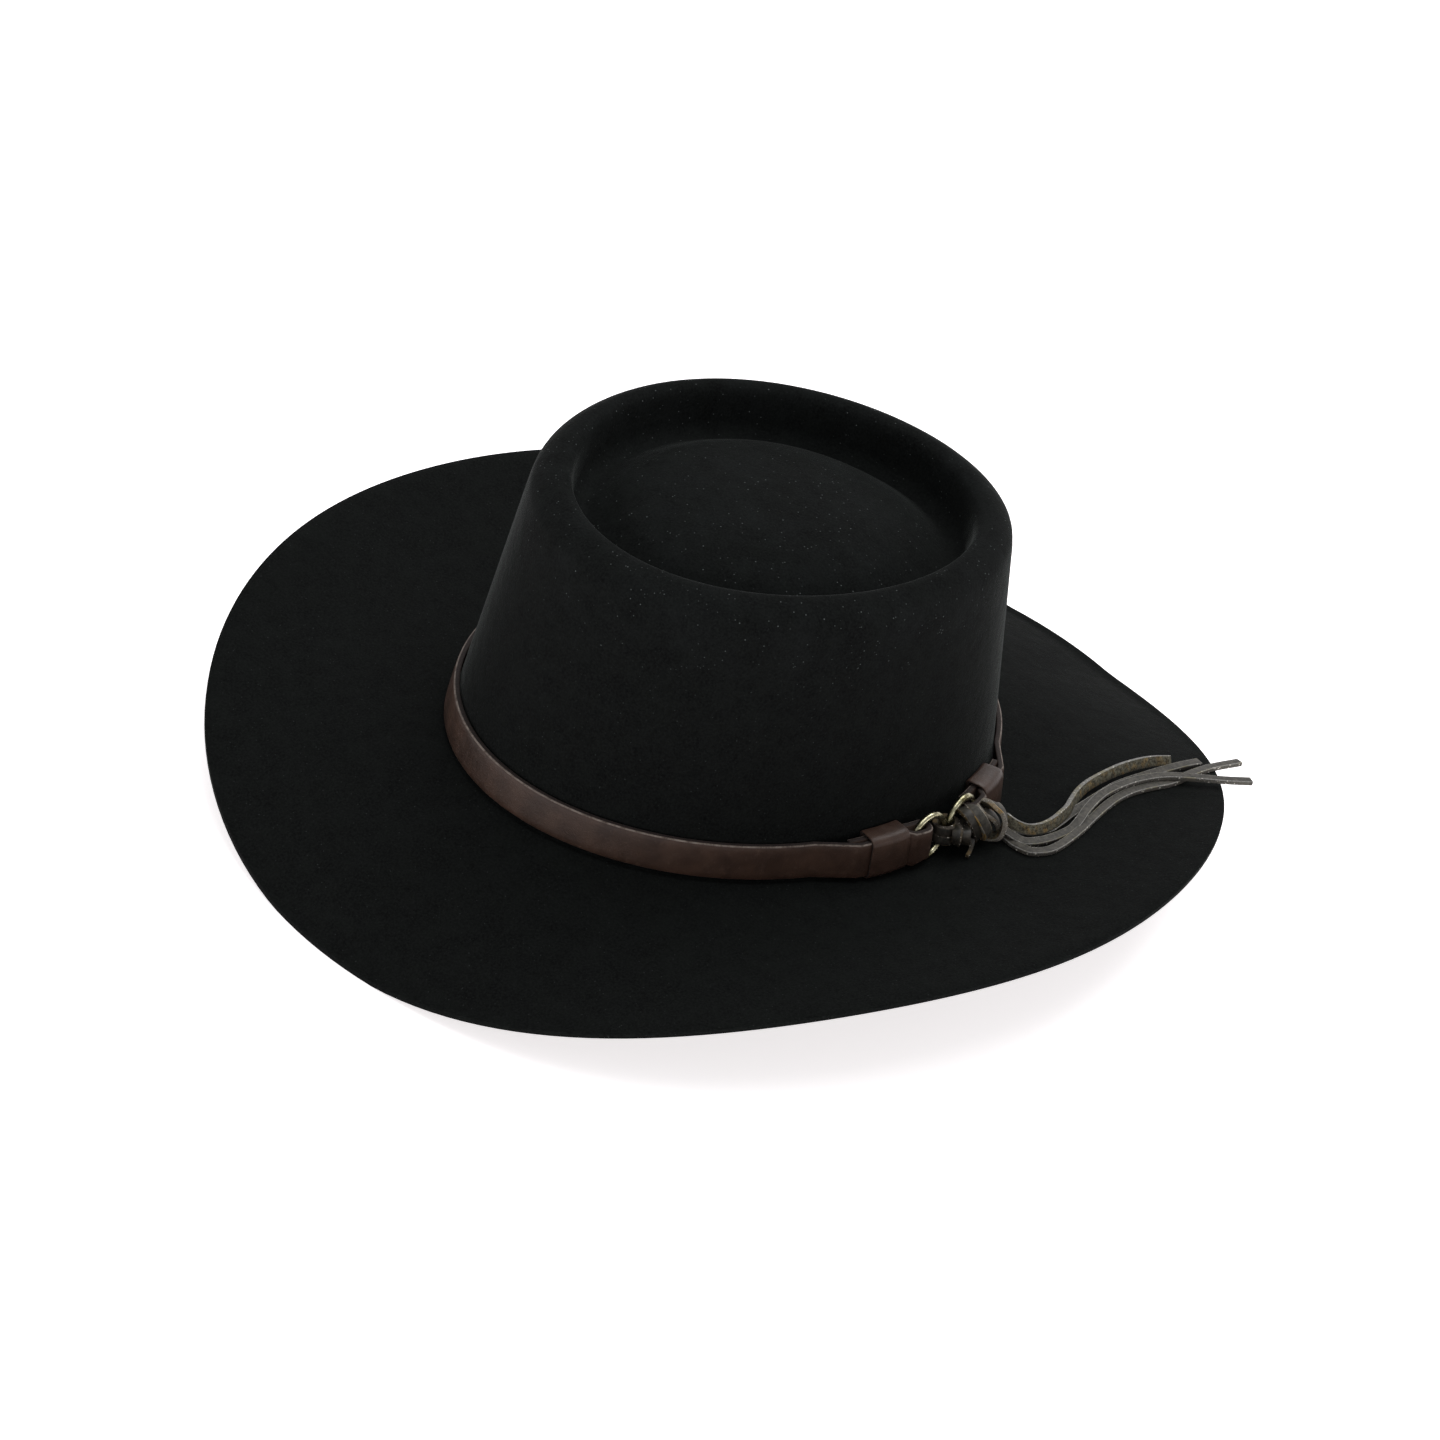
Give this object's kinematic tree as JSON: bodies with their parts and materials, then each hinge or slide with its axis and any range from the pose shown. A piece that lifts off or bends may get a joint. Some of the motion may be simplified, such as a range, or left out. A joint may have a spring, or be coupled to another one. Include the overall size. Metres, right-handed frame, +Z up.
{
  "type": "gambler hat",
  "caption": "Wide-brimmed felt hat with a low pinched-ridge telescope crown and a leather band joined by brass rings and a knotted lace.",
  "frame": {"origin": "on the surface that the hat rests on, under the middle of the felt hat", "axes": "+Z up; the front of the hat faces -Y, and the wearer's left, with the rings and the knot, is +X"},
  "size_m": [0.3282, 0.363, 0.1271],
  "materials": {
    "fur_felt": "matt black fur felt with a short nap",
    "strap_leather": "smooth dark brown leather, slightly shiny, with paler raw edges",
    "antique_brass": "old brass wire with a greenish tone",
    "lace_leather": "waxed dark brown lace with grey cut edges and a mottled flesh side"
  },
  "bodies": {
    "root": {"hat_body": "fur_felt", "band_strap": "strap_leather", "keeper_front": "strap_leather", "keeper_back": "strap_leather", "ring_front": "antique_brass", "ring_back": "antique_brass", "lace_knot": "lace_leather", "lace_tail_1": "lace_leather", "lace_tail_2": "lace_leather", "lace_tail_3": "lace_leather", "lace_tail_4": "lace_leather"}
  },
  "joints": []
}
